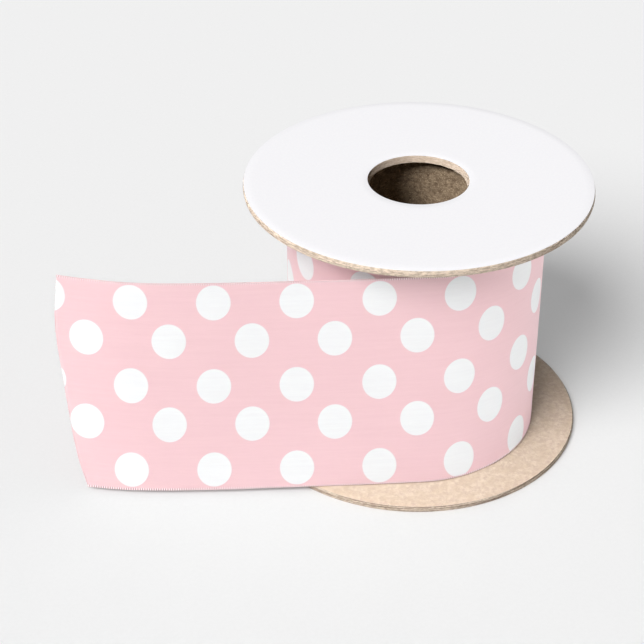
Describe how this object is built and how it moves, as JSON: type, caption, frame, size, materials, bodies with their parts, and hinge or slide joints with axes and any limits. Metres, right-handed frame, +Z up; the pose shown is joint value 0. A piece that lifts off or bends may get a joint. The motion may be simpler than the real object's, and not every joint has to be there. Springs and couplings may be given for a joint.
{
  "type": "spool of satin ribbon",
  "caption": "Wide dotted satin ribbon wound on a cardboard spool with a white face and a spindle hole, its loose end unrolled to one side.",
  "frame": {"origin": "on the surface it stands on, under the middle of the whole outline seen from above; the spool's own axis is at x = 0.02855 m, y = 0", "axes": "+Z up along the spool's axis, -X the way the loose end runs, -Y the side the loose end leaves the roll"},
  "size_m": [0.165, 0.108, 0.088],
  "materials": {
    "kraft_board": "uncoated grey-brown chipboard with a kraft skin and a fibrous cut edge",
    "white_paper": "smooth white coated paper, dull to slightly satin",
    "core_board": "brown spirally wound board, speckled",
    "dotted_satin": "pale pink polyester satin with white printed dots, soft sheen"
  },
  "bodies": {
    "root": {"bottom_flange": "kraft_board", "top_flange": "kraft_board", "top_face_paper": "white_paper", "core_tube": "core_board", "ribbon_roll": "dotted_satin", "ribbon_tail": "dotted_satin"}
  },
  "joints": []
}
